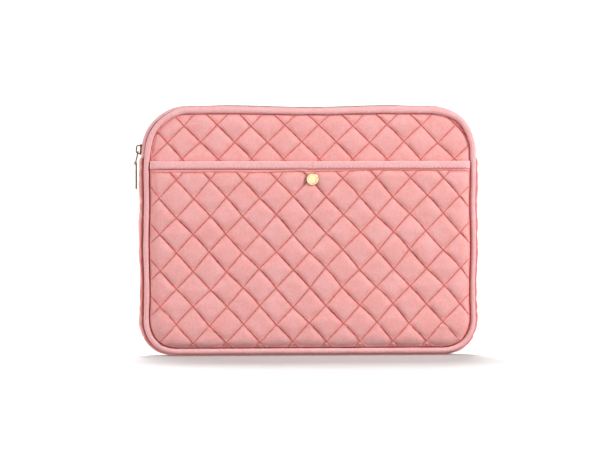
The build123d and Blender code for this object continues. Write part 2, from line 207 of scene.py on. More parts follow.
def loop_path(inset, step=2.2 * MM, half_width=None, low=None, bottom_radius=None):
    """Points round the outline from the middle of the bottom, clockwise as seen from the front, as rows of x, z
    and the outward normal."""
    half_width = HALF_WIDTH - inset if half_width is None else half_width
    top_radius = TOP_RADIUS - inset
    bottom_radius = BOTTOM_RADIUS - inset if bottom_radius is None else bottom_radius
    low = BOTTOM + inset if low is None else low
    high = TOP - inset
    rows = []

    def line(a, b, normal):
        count = max(1, round(math.dist(a, b) / step))
        for k in range(count):
            t = k / count
            rows.append((a[0] + (b[0] - a[0]) * t, a[1] + (b[1] - a[1]) * t, *normal))

    def arc(centre, radius, start, end):
        count = max(4, round(radius * abs(end - start) / step))
        for k in range(count):
            turn = start + (end - start) * k / count
            normal = (math.cos(turn), math.sin(turn))
            rows.append((centre[0] + radius * normal[0], centre[1] + radius * normal[1], *normal))

    left, right = -half_width, half_width
    quarter = math.pi / 2
    line((0, low), (left + bottom_radius, low), (0, -1))
    arc((left + bottom_radius, low + bottom_radius), bottom_radius, -quarter, -2 * quarter)
    line((left, low + bottom_radius), (left, high - top_radius), (-1, 0))
    arc((left + top_radius, high - top_radius), top_radius, 2 * quarter, quarter)
    line((left + top_radius, high), (right - top_radius, high), (0, 1))
    arc((right - top_radius, high - top_radius), top_radius, quarter, 0)
    line((right, high - top_radius), (right, low + bottom_radius), (1, 0))
    arc((right - bottom_radius, low + bottom_radius), bottom_radius, 0, -quarter)
    line((right - bottom_radius, low), (0, low), (0, -1))
    return np.array(rows)


def ended_at(path, kept, level):
    """The kept points of a path, with an end added at each side exactly at this height."""
    ends = path[kept][[0, -1]]
    ends[:, 1] = level
    return np.vstack([ends[:1], path[kept], ends[1:]])


def above(path, level):
    """The stretch of a path over the top, from its left end at this height to its right end."""
    return ended_at(path, path[:, 1] > level + 0.1 * MM, level)


def gusset_path(step):
    """Points round the bottom along the gusset's outer face, from its right end to its left end."""
    path = loop_path(0, step, half_width=gusset_high.x, low=gusset_low.z, bottom_radius=GUSSET_RADIUS)
    turned = np.roll(path, len(path) // 2, axis=0)
    return ended_at(turned, turned[:, 1] < GUSSET_TOP - 0.1 * MM, GUSSET_TOP)


def run_lengths(path):
    """Distance along the path at each of its points."""
    steps = np.hypot(np.diff(path[:, 0]), np.diff(path[:, 1]))
    return np.concatenate([[0], np.cumsum(steps)])


# ---------------------------------------------------------------- mesh building
def link_mesh(name, mesh, material):
    """Smooth-shaded object of a mesh, in the scene and in the list of pieces."""
    mesh.polygons.foreach_set("use_smooth", [True] * len(mesh.polygons))
    mesh.materials.append(material)
    pieces[name] = bpy.data.objects.new(name, mesh)
    bpy.context.scene.collection.objects.link(pieces[name])
    return pieces[name]


def make_object(name, vertices, faces, material, seam=None):
    """Mesh object from arrays, with an optional per-vertex seam value for the material."""
    mesh = bpy.data.meshes.new(name)
    mesh.from_pydata([tuple(v) for v in vertices], [], [tuple(f) for f in faces])
    mesh.validate()
    mesh.update()
    if seam is not None:
        mesh.attributes.new("seam", "FLOAT", "POINT").data.foreach_set("value", np.asarray(seam, np.float32))
    return link_mesh(name, mesh, material)


def closed_object(name, vertices, faces, material, seam=None):
    """Settled object of a closed mesh, with every face turned outwards."""
    piece = make_object(name, settle(vertices), faces, material, seam)
    work = bmesh.new()
    work.from_mesh(piece.data)
    bmesh.ops.recalc_face_normals(work, faces=work.faces)
    work.to_mesh(piece.data)
    work.free()
    return piece


def tube_faces(rings, size, closed=False, capped=True):
    """Faces between rings of points in a row, or in a loop if closed, with caps on open ends."""
    faces = []
    for ring in range(rings if closed else rings - 1):
        a, b = ring * size, (ring + 1) % rings * size
        faces += [(a + k, a + (k + 1) % size, b + (k + 1) % size, b + k) for k in range(size)]
    if capped and not closed:
        faces += [tuple(range(size)), tuple(range((rings - 1) * size, rings * size))]
    return faces


def sweep(name, path, section, material, closed=False, seam=None):
    """Sweeps a closed section along a path. section(i, s) gives rows of outward offset and y at its point i,
    which is s along it, and seam(i, s) gives their seam values."""
    lengths = run_lengths(path)
    rings = [np.asarray(section(i, s), float) for i, s in enumerate(lengths)]
    vertices = [(p[0] + p[2] * out, y, p[1] + p[3] * out) for p, ring in zip(path, rings) for out, y in ring]
    values = None if seam is None else np.concatenate([seam(i, s) for i, s in enumerate(lengths)])
    faces = tube_faces(len(path), len(rings[0]), closed)
    return closed_object(name, np.array(vertices), faces, material, values)


def split(work, point, normal, drop_outer=False):
    """Cuts a mesh along a plane, and drops what lies beyond it if asked to."""
    bmesh.ops.bisect_plane(
        work, geom=work.verts[:] + work.edges[:] + work.faces[:], dist=1e-6,
        plane_co=point, plane_no=normal, clear_outer=drop_outer,
    )


def trim(work, cuts):
    """Trims a sheet in the plane y = 0 to the common part of half-planes."""
    for (x, z), (normal_x, normal_z) in cuts:
        split(work, (x, 0, z), (normal_x, 0, normal_z), drop_outer=True)


def plain_grid(xs, zs, cuts):
    """Flat sheet of square cells in the plane y = 0, trimmed to the cuts, as a bmesh."""
    work = bmesh.new()
    grid = [[work.verts.new((x, 0, z)) for z in zs] for x in xs]
    for a in range(len(xs) - 1):
        for b in range(len(zs) - 1):
            work.faces.new((grid[a][b], grid[a + 1][b], grid[a + 1][b + 1], grid[a][b + 1]))
    trim(work, cuts)
    return work


def lattice(quilt):
    """Grid of x, z points whose rows and columns run along the stitch lines, crowded towards them."""
    width, height, node_x, node_z = quilt
    reach_x, reach_z = 2 * HALF_WIDTH / width, 1.2 * TOP / height
    count = math.ceil((reach_x + 2 * reach_z) / 2) + 2
    t = np.arange(-count * CELL_STEPS, count * CELL_STEPS + 1) / CELL_STEPS
    graded = t - SEAM_CROWDING * np.sin(2 * np.pi * t) / (2 * np.pi)
    i, j = np.meshgrid(graded, graded, indexing="ij")
    return node_x + width * (i + j) / 2, node_z + height * (i - j) / 2


def quilt_grid(quilt, cuts, levels, sides, keep_below=TOP):
    """Flat sheet on the lattice, as a bmesh in the plane y = 0, trimmed to the cuts. It gets extra rows of points
    at these levels and sides."""
    x, z = lattice(quilt)
    margin = 6 * MM
    inside = (outline_distance(x, z, 0) > -margin) & (z > -margin) & (z < keep_below + margin)
    rows, columns = x.shape
    used = np.zeros_like(inside)
    cell = inside[:-1, :-1] | inside[1:, :-1] | inside[1:, 1:] | inside[:-1, 1:]
    for a, b in ((0, 0), (1, 0), (1, 1), (0, 1)):
        used[a:rows - 1 + a, b:columns - 1 + b] |= cell
    index = np.full(x.shape, -1)
    index[used] = np.arange(used.sum())
    work = bmesh.new()
    made = [work.verts.new((px, 0, pz)) for px, pz in zip(x[used], z[used])]
    for a, b in zip(*np.nonzero(cell)):
        corners = (index[a, b], index[a + 1, b], index[a + 1, b + 1], index[a, b + 1])
        work.faces.new([made[k] for k in corners])
    trim(work, cuts)
    for level in levels:
        split(work, (0, 0, level), (0, 0, 1))
    for side in sides:
        split(work, (side, 0, 0), (1, 0, 0))
    bmesh.ops.remove_doubles(work, verts=work.verts, dist=0.02 * MM)
    bmesh.ops.dissolve_degenerate(work, dist=0.01 * MM, edges=work.edges)
    return work


def edge_rows(edge, turn):
    """Places just inside a sewn edge, where the pressed band changes fastest. turn is 1 or -1, to the middle."""
    return [edge + turn * step * MM for step in (0.3, 0.8, 1.6, 3.0)]


def line_distance(share):
    """Distance of a lattice coordinate from its nearest line, from 0 on a line to 0.5 midway."""
    return np.abs(share - np.round(share))


def seam_depth(distance):
    """Weight of stitching at this distance from it: a thin line inside a soft band. It holds the cloth near
    stitching and sets how much painted seam shade the velvet gets there.
    """
    line = np.exp(-((distance / SEAM_LINE) ** 2))
    return 0.6 * line + 0.4 * np.exp(-distance / SEAM_BAND)


def puckered_relief(x, z, quilt, crown, seed):
    """Outward height of quilted velvet over its stitch lines, and how near each point is to a line."""
    width, height, node_x, node_z = quilt
    i = (x - node_x) / width + (z - node_z) / height
    j = (x - node_x) / width - (z - node_z) / height
    di, dj = line_distance(i), line_distance(j)
    side = math.hypot(width, height) / 2
    draw = np.random.default_rng(seed)
    table = draw.uniform(-1, 1, (64, 64))
    cell = table[np.floor(i).astype(int) % 64, np.floor(j).astype(int) % 64]
    tilt = table[np.floor(j).astype(int) % 64, (np.floor(i).astype(int) + 17) % 64]
    lean = tilt * 0.12 * np.sin(2 * np.pi * (i - np.floor(i)))
    lean = lean + cell * 0.1 * np.sin(2 * np.pi * (j - np.floor(j)))
    plateau = rise(di * side, CELL_EDGE) * rise(dj * side, CELL_EDGE)
    dome = 0.74 * plateau + 0.26 * (np.sin(np.pi * di) * np.sin(np.pi * dj)) ** 0.6
    body = crown * dome * (1 + 0.16 * cell + lean)
    pucker = 0
    for own, other, along, size, drift, extra in (
        (di, dj, (j * side, np.round(i)), 6.5 * MM, 50 * MM, 1),
        (dj, di, (i * side, np.round(j)), 7.5 * MM, 45 * MM, 3),
    ):
        near = np.exp(-own * side / (3.2 * MM)) * np.sin(np.pi * other)
        near = near * np.minimum(1, own * side / (1.2 * MM))
        ripple = waves(along[0], along[1] * 40 * MM, size, seed + extra)
        pucker = pucker + 0.24 * MM * near * ripple * (0.6 + 0.6 * waves(x, z, drift, seed + extra + 1))
    soft = 0.22 * MM * waves(x, z, 13 * MM, seed + 5) * dome
    return body + pucker + soft, np.maximum(seam_depth(di * side), RISING_SEAM * seam_depth(dj * side))


def inflate(points, faces, held):
    """Cloth simulation of a quilted sheet whose stitched points are held. The cloth between them is cut a little
    too large and filled from behind, so it swells and puckers along its seams."""
    scene = bpy.context.scene
    mesh = bpy.data.meshes.new("cloth_sheet")
    mesh.from_pydata([tuple(p) for p in points * CLOTH_SCALE], [], faces)
    mesh.update()
    sheet = bpy.data.objects.new("cloth_sheet", mesh)
    scene.collection.objects.link(sheet)
    sheet.vertex_groups.new(name="held").add([int(k) for k in np.nonzero(held)[0]], 1.0, "REPLACE")
    cloth = sheet.modifiers.new("cloth", "CLOTH")
    settings = cloth.settings
    settings.quality = 4
    settings.mass = 0.01
    settings.tension_stiffness = settings.compression_stiffness = 12
    settings.shear_stiffness = 4
    settings.bending_stiffness = 0.02
    settings.air_damping = 2
    settings.vertex_group_mass = "held"
    settings.shrink_min = -CLOTH_EXCESS
    settings.use_pressure = True
    settings.uniform_pressure_force = CLOTH_PRESSURE
    settings.effector_weights.gravity = 0
    cloth.collision_settings.use_collision = False
    cloth.point_cache.frame_start = 1
    cloth.point_cache.frame_end = CLOTH_FRAMES
    for step in range(1, CLOTH_FRAMES + 1):
        scene.frame_set(step)
    settled = sheet.evaluated_get(bpy.context.evaluated_depsgraph_get()).data
    result = np.empty(3 * len(points))
    settled.vertices.foreach_get("co", result)
    move = result.reshape(-1, 3) / CLOTH_SCALE - points
    length = np.linalg.norm(move, axis=1, keepdims=True)
    move *= np.minimum(1, CLOTH_CAP / np.maximum(length, 1e-9))
    bpy.data.objects.remove(sheet)
    bpy.data.meshes.remove(mesh)
    scene.frame_set(1)
    return points + move


def closed_quilt(name, work, shape, back, material, simulate=False):
    """Turns a flat trimmed sheet into a closed pad. shape(x, z) gives its face's x, y, z and seam value, and
    back(x, z) its other side's y."""
    work.verts.ensure_lookup_table()
    work.verts.index_update()
    x, z = np.array([(v.co.x, v.co.z) for v in work.verts]).T
    moved_x, face_y, moved_z, seam = shape(x, z)
    count = len(x)
    face_sides = [[v.index for v in f.verts] for f in work.faces]
    rim = [[v.index for v in e.verts] for e in work.edges if len(e.link_faces) == 1]
    work.free()
    faces = face_sides + [[k + count for k in reversed(f)] for f in face_sides]
    faces += [[a, b, b + count, a + count] for a, b in rim]
    face_points = np.column_stack([moved_x, face_y, moved_z])
    if simulate:
        held = seam > HELD_SEAM
        held[np.unique(rim)] = True
        outwards = face_sides if face_y.mean() < 0 else [f[::-1] for f in face_sides]
        face_points = inflate(face_points, outwards, held)
    back_points = np.column_stack([moved_x, back(x, z), moved_z])
    seam = np.append(seam, seam * 0)
    return closed_object(name, np.vstack([face_points, back_points]), faces, material, seam)


# ---------------------------------------------------------------- materials
BAND_REPEAT = math.pi / 10  # the repeat of a wave texture's bands at a scale of 1


def new_material(name):
    """Empty node material with its shader joined to the output."""
    made = bpy.data.materials.new(name)
    made.use_nodes = True
    tree = made.node_tree
    tree.nodes.clear()
    shader = tree.nodes.new("ShaderNodeBsdfPrincipled")
    output = tree.nodes.new("ShaderNodeOutputMaterial")
    tree.links.new(shader.outputs["BSDF"], output.inputs["Surface"])
    return made, tree, shader


def object_place(tree):
    """Socket that gives a point's place on the sleeve."""
    return tree.nodes.new("ShaderNodeTexCoord").outputs["Object"]


def noise_node(tree, scale, detail=3.0, roughness=0.55, stretch=None):
    """Noise texture, in cells per metre."""
    noise = tree.nodes.new("ShaderNodeTexNoise")
    noise.inputs["Scale"].default_value = scale
    noise.inputs["Detail"].default_value = detail
    noise.inputs["Roughness"].default_value = roughness
    place = object_place(tree)
    if stretch:
        mapping = tree.nodes.new("ShaderNodeMapping")
        mapping.inputs["Scale"].default_value = stretch
        tree.links.new(place, mapping.inputs["Vector"])
        place = mapping.outputs["Vector"]
    tree.links.new(place, noise.inputs["Vector"])
    return noise.outputs["Fac"]


def ramp_node(tree, source, *stops):
    """Colour ramp driven by a value. A stop is its position and a colour, or a grey as one number."""
    made = tree.nodes.new("ShaderNodeValToRGB")
    elements = made.color_ramp.elements
    while len(elements) < len(stops):
        elements.new(0.5)
    for element, (position, colour) in zip(elements, stops):
        element.position = position
        element.color = (*colour, 1) if isinstance(colour, tuple) else (colour, colour, colour, 1)
    tree.links.new(source, made.inputs["Fac"])
    return made.outputs["Color"]


def mix_node(tree, kind, factor, a, b):
    """Colour mix of two sockets or colours. factor is a socket or a number."""
    made = tree.nodes.new("ShaderNodeMix")
    made.data_type = "RGBA"
    made.blend_type = kind
    for socket, value in ((made.inputs["Factor"], factor), (made.inputs[6], a), (made.inputs[7], b)):
        if isinstance(value, bpy.types.NodeSocket):
            tree.links.new(value, socket)
        else:
            socket.default_value = (*value, 1) if isinstance(value, tuple) else value
    return made.outputs[2]


def bump_node(tree, height, strength, distance, under=None):
    """Bump from a height socket, over an earlier bump's normal if there is one."""
    made = tree.nodes.new("ShaderNodeBump")
    made.inputs["Strength"].default_value = strength
    made.inputs["Distance"].default_value = distance
    tree.links.new(height, made.inputs["Height"])
    if under:
        tree.links.new(under, made.inputs["Normal"])
    return made.outputs["Normal"]


def join(tree, shader, colour, roughness, normal):
    """Joins what varies over a surface to its shader."""
    for name, source in (("Base Color", colour), ("Roughness", roughness), ("Normal", normal)):
        tree.links.new(source, shader.inputs[name])


def velvet(name, light, deep, seam_band_shade, seam_line_shade, sheen):
    """Short-pile velvet: nap in soft patches, fine pile, a band of more saturated painted shade beside each seam,
    and a dark line of painted shade in the seam's groove, both set by the seam value."""
    made, tree, shader = new_material(name)
    patches = noise_node(tree, 45, 4, 0.6)
    mottle = noise_node(tree, 420, 3, 0.6)
    pile = noise_node(tree, 2600, 2, 0.7)
    base = ramp_node(tree, patches, (0.32, deep), (0.68, light))
    mottled = ramp_node(tree, mottle, (0.3, (0.86, 0.82, 0.82)), (0.7, 1.0))
    coloured = mix_node(tree, "MULTIPLY", 0.8, base, mottled)
    seam = tree.nodes.new("ShaderNodeAttribute")
    seam.attribute_name = "seam"
    # Painted shade from the seam value: a saturated band beside each seam, then a dark line in its groove.
    seam_band_mask = ramp_node(tree, seam.outputs["Fac"], (0.04, 0.0), (0.38, 0.8))
    line = ramp_node(tree, seam.outputs["Fac"], (0.42, 0.0), (0.98, 1.0))
    seam_shaded_colour = mix_node(tree, "MIX", line, mix_node(tree, "MIX", seam_band_mask, coloured, seam_band_shade), seam_line_shade)
    rough = ramp_node(tree, mottle, (0.2, 0.72), (0.8, 0.92))
    coarse = bump_node(tree, mottle, 0.25, 0.35 * MM)
    join(tree, shader, seam_shaded_colour, rough, bump_node(tree, pile, 0.35, 0.12 * MM, coarse))
    shader.inputs["Sheen Weight"].default_value = sheen
    shader.inputs["Sheen Roughness"].default_value = 0.38
    shader.inputs["Sheen Tint"].default_value = (1.0, 0.9, 0.9, 1)
    shader.inputs["Specular IOR Level"].default_value = 0.2
    shader.inputs["Subsurface Weight"].default_value = 0.5
    shader.inputs["Subsurface Radius"].default_value = (1.0, 0.25, 0.22)
    shader.inputs["Subsurface Scale"].default_value = 2.5 * MM
    return made


def woven(name, warp, weft, repeat):
    """Plain weave: crossing threads of two close colours, at this repeat."""
    made, tree, shader = new_material(name)
    weave = tree.nodes.new("ShaderNodeMath")
    weave.operation = "MULTIPLY"
    for direction, crossing in zip("XZ", weave.inputs):
        wave = tree.nodes.new("ShaderNodeTexWave")
        wave.wave_type = "BANDS"
        wave.bands_direction = direction
        wave.inputs["Scale"].default_value = BAND_REPEAT / repeat
        wave.inputs["Distortion"].default_value = 0.4
        tree.links.new(object_place(tree), wave.inputs["Vector"])
        tree.links.new(wave.outputs["Fac"], crossing)
    weave = weave.outputs["Value"]
    drift = noise_node(tree, 60, 4, 0.6)
    threads = ramp_node(tree, weave, (0.1, weft), (0.6, warp))
    drifted = ramp_node(tree, drift, (0.3, (0.88, 0.86, 0.86)), (0.7, 1.0))
    rough = ramp_node(tree, drift, (0.2, 0.6), (0.8, 0.8))
    colour = mix_node(tree, "MULTIPLY", 1.0, threads, drifted)
    join(tree, shader, colour, rough, bump_node(tree, weave, 0.5, 0.15 * MM))
    shader.inputs["Sheen Weight"].default_value = 0.15
    return made


def groove_and_rim_shade(tree, colour, axis, groove, rim, dark):
    """A turned part's colour, with painted shade darkening its groove and its rim. Its axis lies along Y
    through this x and z."""
    flat = tree.nodes.new("ShaderNodeVectorMath")
    flat.operation = "MULTIPLY_ADD"
    flat.inputs[1].default_value = (1, 0, 1)
    flat.inputs[2].default_value = (-axis[0], 0, -axis[1])
    distance = tree.nodes.new("ShaderNodeVectorMath")
    distance.operation = "LENGTH"
    share = tree.nodes.new("ShaderNodeMath")
    share.operation = "DIVIDE"
    share.inputs[1].default_value = rim
    tree.links.new(object_place(tree), flat.inputs[0])
    tree.links.new(flat.outputs["Vector"], distance.inputs[0])
    tree.links.new(distance.outputs["Value"], share.inputs[0])
    inside = groove / rim
    stops = ((inside - 0.16, 0.0), (inside - 0.02, 0.55), (inside + 0.04, 0.0), (0.86, 0.0), (0.97, 0.8))
    return mix_node(tree, "MIX", ramp_node(tree, share.outputs["Value"], *stops), colour, dark)


def brass(name, bright, dull, roughness, **painted_shade_ring):
    """Plated brass: polished, duller and browner in patches, with fine scratches along it, and painted shade in a
    groove and at a rim where these are given.
    """
    made, tree, shader = new_material(name)
    wear = noise_node(tree, 380, 5, 0.65)
    scratches = noise_node(tree, 900, 3, 0.6, stretch=(8, 8, 0.6))
    colour = ramp_node(tree, wear, (0.34, dull), (0.62, bright))
    if painted_shade_ring:
        colour = groove_and_rim_shade(tree, colour, **painted_shade_ring)
    rough = ramp_node(tree, wear, (0.3, roughness + 0.18), (0.7, roughness))
    join(tree, shader, colour, rough, bump_node(tree, scratches, 0.12, 0.05 * MM))
    shader.inputs["Metallic"].default_value = 1.0
    return made


# The last two colours of each velvet are painted shade: a band beside the seams and a line in their grooves.
VELVET = velvet(
    "quilted_velvet", light=(0.89, 0.475, 0.47), deep=(0.87, 0.41, 0.39), seam_band_shade=(0.90, 0.33, 0.30),
    seam_line_shade=(0.47, 0.05, 0.05), sheen=0.33,
)
TRIM = velvet(
    "trim_velvet", light=(0.89, 0.53, 0.54), deep=(0.88, 0.48, 0.48), seam_band_shade=(0.86, 0.32, 0.30),
    seam_line_shade=(0.44, 0.055, 0.055), sheen=0.3,
)
LINING = woven("lining_cloth", (0.74, 0.36, 0.33), (0.62, 0.26, 0.24), 0.5655 * MM)
TAPE = woven("zip_tape", (0.72, 0.24, 0.23), (0.58, 0.16, 0.16), 0.4398 * MM)
TEETH = brass("zip_teeth", (0.20, 0.12, 0.04), (0.08, 0.042, 0.015), 0.4)
HARDWARE = brass("zip_hardware", (0.16, 0.088, 0.02), (0.03, 0.014, 0.004), 0.34)
# The snap's groove and rim get painted shade.
SNAP = brass(
    "snap_metal", (0.73, 0.555, 0.33), (0.62, 0.44, 0.25), 0.2,
    axis=(snap.x, snap.z), groove=4.5 * MM, rim=(cap_high.x - cap_low.x) / 2, dark=(0.22, 0.10, 0.03),
)
THREAD = woven("thread", (0.50, 0.10, 0.10), (0.40, 0.07, 0.07), 0.1885 * MM)


# ---------------------------------------------------------------- quilted panels
UNDER_POCKET = (184 * MM, 195 * MM)


def panel_distance(x, z):
    """Distance inside the line where the piping is sewn to a panel."""
    return np.maximum(np.minimum(outline_distance(x, z, PANEL_INSET + SEAM_INSET), PANEL_TOP - z), 0)


def panel_shape(side):
    """Face of the front or back panel: quilted, and rolled down to the piping's seam. The front one is pressed
    flat where the pocket covers it."""
    seed = 21 + 10 * side

    def shape(x, z):
        sewn = panel_distance(x, z)
        relief, seam = puckered_relief(x, z, PANEL_QUILT, CROWN, seed)
        under_pocket = 1 - ramp(z, *UNDER_POCKET) if side < 0 else 0
        crown = relief * rise(sewn, SEWN_EDGE) * (1 - 0.72 * under_pocket)
        face = PANEL_FACE - 1.0 * MM + 0.7 * MM * rise(sewn, 14 * MM)
        wobble = rise(sewn, WOBBLE_EDGE) * 0.75 * MM
        return (
            x + wobble * waves(x, z, 75 * MM, seed + 7),
            side * (face + crown),
            z + wobble * waves(x, z, 70 * MM, seed + 8),
            # The seam value along the sewn edge also paints shade where the panel meets the piping.
            np.maximum(seam, seam_depth(sewn)),
        )

    return shape


for place, side in FRONT_BACK.items():
    edge = HALF_WIDTH - PANEL_INSET - SEAM_INSET
    levels = edge_rows(PANEL_TOP, -1) + edge_rows(BOTTOM + PANEL_INSET + SEAM_INSET, 1)
    sides = edge_rows(edge, -1) + edge_rows(-edge, 1)
    work = quilt_grid(PANEL_QUILT, outline_cuts(PANEL_INSET), levels, sides)
    back_y = side * PANEL_BACK
    closed_quilt(f"{place}_panel", work, panel_shape(side), lambda x, z: back_y + 0 * x, VELVET, simulate=True)


# ---------------------------------------------------------------- pocket, in halves that meet on a stitch line
POCKET_SEWN_Y = 12.0 * MM
POCKET_OUT_Y = -pocket_low.y - 1.2 * MM
POCKET_PAD = 1.7 * MM
POCKET_EDGE_TOP = 120 * MM
LINING_EDGE = 0.4 * MM
RIDGE_Z = binding_low.z - 2.1 * MM
RIDGE_RISE = 2.3 * MM
RIDGE_ROWS = (-0.3, -0.12, 0, 0.08, 0.25, 0.5, 0.75, 0.92, 1.1)


def pocket_sewn(x, z):
    """Distance inside the pocket's sewn sides and bottom."""
    return np.maximum(outline_distance(x, np.minimum(z, POCKET_EDGE_TOP), POCKET_INSET), 0)


def pocket_depth(x, z):
    """How far the pocket's face stands in front of y = 0, before its quilting: down at the sewn edges, out at
    the middle."""
    sewn = pocket_sewn(x, z)
    near = POCKET_SEWN_Y + (-pocket_high.y - POCKET_SEWN_Y) * rise(sewn, 5 * MM)
    return near + (POCKET_OUT_Y + pocket_high.y) * rise(sewn, 26 * MM)


def pocket_shape(x, z):
    """Face of the pocket: quilted between its sewn edges and the ridge under its binding."""
    relief, seam = puckered_relief(x, z, POCKET_QUILT, CROWN, 51)
    sewn = pocket_sewn(x, z)
    from_ridge = np.abs(z - RIDGE_Z)
    # The ridge under the binding and the sewn edges get seam values, which hold the cloth there and paint shade
    # lines along them.
    seam = np.maximum(seam * (z < RIDGE_Z), 0.78 * seam_depth(from_ridge))
    bead = 1.0 * MM * np.sqrt(np.clip(1 - ((z - RIDGE_Z) / (RIDGE_RISE / 2) - 1) ** 2, 0, 1))
    raised = np.where(z > RIDGE_Z, bead, relief * rise(from_ridge, 1.5 * MM))
    free = rise(np.minimum(sewn, np.abs(POCKET_TOP - z)), WOBBLE_EDGE)
    wobble = free * 0.8 * MM * ramp(np.hypot(x - snap.x, z - snap.z), 5 * MM, 30 * MM)
    slope = free * 1.6 * MM * x / (140 * MM)
    return (
        x + wobble * waves(x, z, 80 * MM, 57),
        -(pocket_depth(x, z) + raised * rise(sewn, SEWN_EDGE)),
        z + wobble * waves(x, z, 70 * MM, 58) + slope,
        np.maximum(seam, seam_depth(sewn)),
    )


def pocket_back(x, z):
    """Inner side of the pocket's pad."""
    return -(pocket_depth(x, z) - POCKET_PAD)


def pocket_pad(name, side):
    """One half of the pocket's pad. Its inner edge follows the stitch lines beside the snap."""
    cuts = outline_cuts(POCKET_INSET) + [((0, POCKET_TOP), (0, 1))]
    levels = [RIDGE_Z + share * RIDGE_RISE for share in RIDGE_ROWS] + edge_rows(BOTTOM + POCKET_INSET, 1)
    sides = edge_rows(pocket_high.x, -1) + edge_rows(-pocket_high.x, 1)
    work = quilt_grid(POCKET_QUILT, cuts, levels, sides, POCKET_TOP)
    width, height, node_x, node_z = POCKET_QUILT
    away = []
    for face in work.faces:
        middle = face.calc_center_median()
        across, up = (middle.x - node_x) / width, (middle.z - node_z) / height
        i, j = math.floor(across + up), math.floor(across - up)
        on_right = i + j + 1 > 0 or (i + j + 1 == 0 and i % 2 == 0)
        if on_right != (side > 0):
            away.append(face)
    bmesh.ops.delete(work, geom=away, context="FACES")
    closed_quilt(name, work, pocket_shape, pocket_back, VELVET, simulate=True)


def pocket_lining(name, side):
    """Thin cloth on the inner side of half of the pocket."""
    xs = np.linspace(snap.x, side * (pocket_high.x - LINING_EDGE), 40)
    zs = np.linspace(pocket_low.z + 1 * MM, POCKET_TOP, 60)
    closed_quilt(
        name,
        plain_grid(xs, zs, outline_cuts(POCKET_INSET + LINING_EDGE)),
        lambda x, z: (x, pocket_back(x, z) + 0.05 * MM, z, 0 * x),
        lambda x, z: pocket_back(x, z) + 0.5 * MM,
        LINING,
    )


def pocket_binding(name, side):
    """Half of the folded strip over the pocket's top edge."""
    xs = np.linspace(snap.x, side * pocket_high.x, 130)
    top, low = binding_high.z, binding_low.z
    vertices = []
    for x, depth, wave in zip(xs, pocket_depth(xs, POCKET_TOP), waves(xs, 0, 26 * MM, 71)):
        face, back = depth + 1.0 * MM + 0.1 * MM * wave, depth - 2.4 * MM
        middle, half = (face + back) / 2, (face - back) / 2
        ring = [(back + 0.2 * MM, low), (back, low + 1 * MM), (back, top - 2.2 * MM)]
        for turn in np.linspace(0.25, math.pi - 0.25, 9):
            ring.append((middle - half * math.cos(turn), top - half + half * math.sin(turn)))
        ring += [(face, top - 2.6 * MM), (face + 0.25 * MM, top - 4.2 * MM)]
        ring += [(face + 0.15 * MM, low + 2.0 * MM), (face, low + 0.9 * MM), (face - 0.35 * MM, low + 0.4 * MM)]
        ring += [(face - 0.9 * MM, low + 0.15 * MM), (face - 1.3 * MM, low + 0.1 * MM)]
        vertices += [(x, -y, z) for y, z in ring]
    # Painted shade: seam values darken the strip's lower front edge, where it curls under onto the pocket.
    groove = [0.0] * (len(ring) - 4) + [0.1, 0.55, 0.95, 1.0]
    closed_object(name, np.array(vertices), tube_faces(len(xs), len(ring)), TRIM, groove * len(xs))


for kind, build in (("pad", pocket_pad), ("lining", pocket_lining), ("binding", pocket_binding)):
    for place, side in HALVES.items():
        build(f"pocket_{kind}_{place}", side)


# ---------------------------------------------------------------- stitches
STITCH = 3.0 * MM
STITCH_GAP = 0.9 * MM
STITCH_SHARES = np.array([0, 0.15, 0.85, 1])
STITCH_EDGE = 0.8 * MM
THREAD_RADIUS = 0.16 * MM
THREAD_SIDES = 6


def stitch_mesh(name, centres, out):
    """Short lengths of thread, each through four points, whose ends dip into the cloth. out points off it."""
    along = centres[:, 3] - centres[:, 0]
    along /= np.linalg.norm(along, axis=1, keepdims=True)
    out = np.broadcast_to(np.asarray(out, float), along.shape)
    across = np.cross(along, out)
    turns = np.linspace(0, 2 * np.pi, THREAD_SIDES, endpoint=False)
    circle = across[:, None] * np.cos(turns)[None, :, None] + out[:, None] * np.sin(turns)[None, :, None]
    swell = np.array([0.45, 1, 1, 0.45]) * THREAD_RADIUS
    dip = np.array([-0.25, 0.12, 0.12, -0.25]) * MM
    rings = centres[:, :, None] + dip[None, :, None, None] * out[:, None, None]
    rings = rings + swell[None, :, None, None] * circle[:, None]
    tube, size = tube_faces(4, THREAD_SIDES), 4 * THREAD_SIDES
    faces = [tuple(size * n + k for k in face) for n in range(len(centres)) for face in tube]
    closed_object(name, rings.reshape(-1, 3), faces, THREAD)


def quilting_stitches(name, quilt, shape, keep, side):
    """Stitches along the quilting's lines, wherever keep(x, z) holds."""
    width, height, node_x, node_z = quilt
    span = math.hypot(width, height)
    runs = np.arange(-0.6, 0.6, STITCH + STITCH_GAP)[:, None] + STITCH_SHARES * STITCH
    lines = [(slant, k) for slant in (-1, 1) for k in range(-24, 25)]
    x = np.vstack([node_x + k * width + runs * width / span for slant, k in lines])
    z = np.vstack([node_z + slant * runs * height / span for slant, k in lines])
    kept = keep(x, z).all(axis=1)
    moved_x, face_y, moved_z, _ = shape(x[kept].ravel(), z[kept].ravel())
    centres = np.column_stack([moved_x, face_y, moved_z]).reshape(-1, 4, 3)
    stitch_mesh(name, centres, (0, side, 0))


def on_panel(x, z):
    """Whether a panel's stitches go here."""
    return panel_distance(x, z) > STITCH_EDGE


def on_pocket(x, z):
    """Whether the pocket's stitches go here: under its ridge, and clear of its edges and its snap."""
    inside = (outline_distance(x, z, POCKET_INSET) > STITCH_EDGE) & (z < RIDGE_Z - 0.5 * MM)
    return inside & (np.hypot(x - snap.x, z - snap.z) > 6.5 * MM)


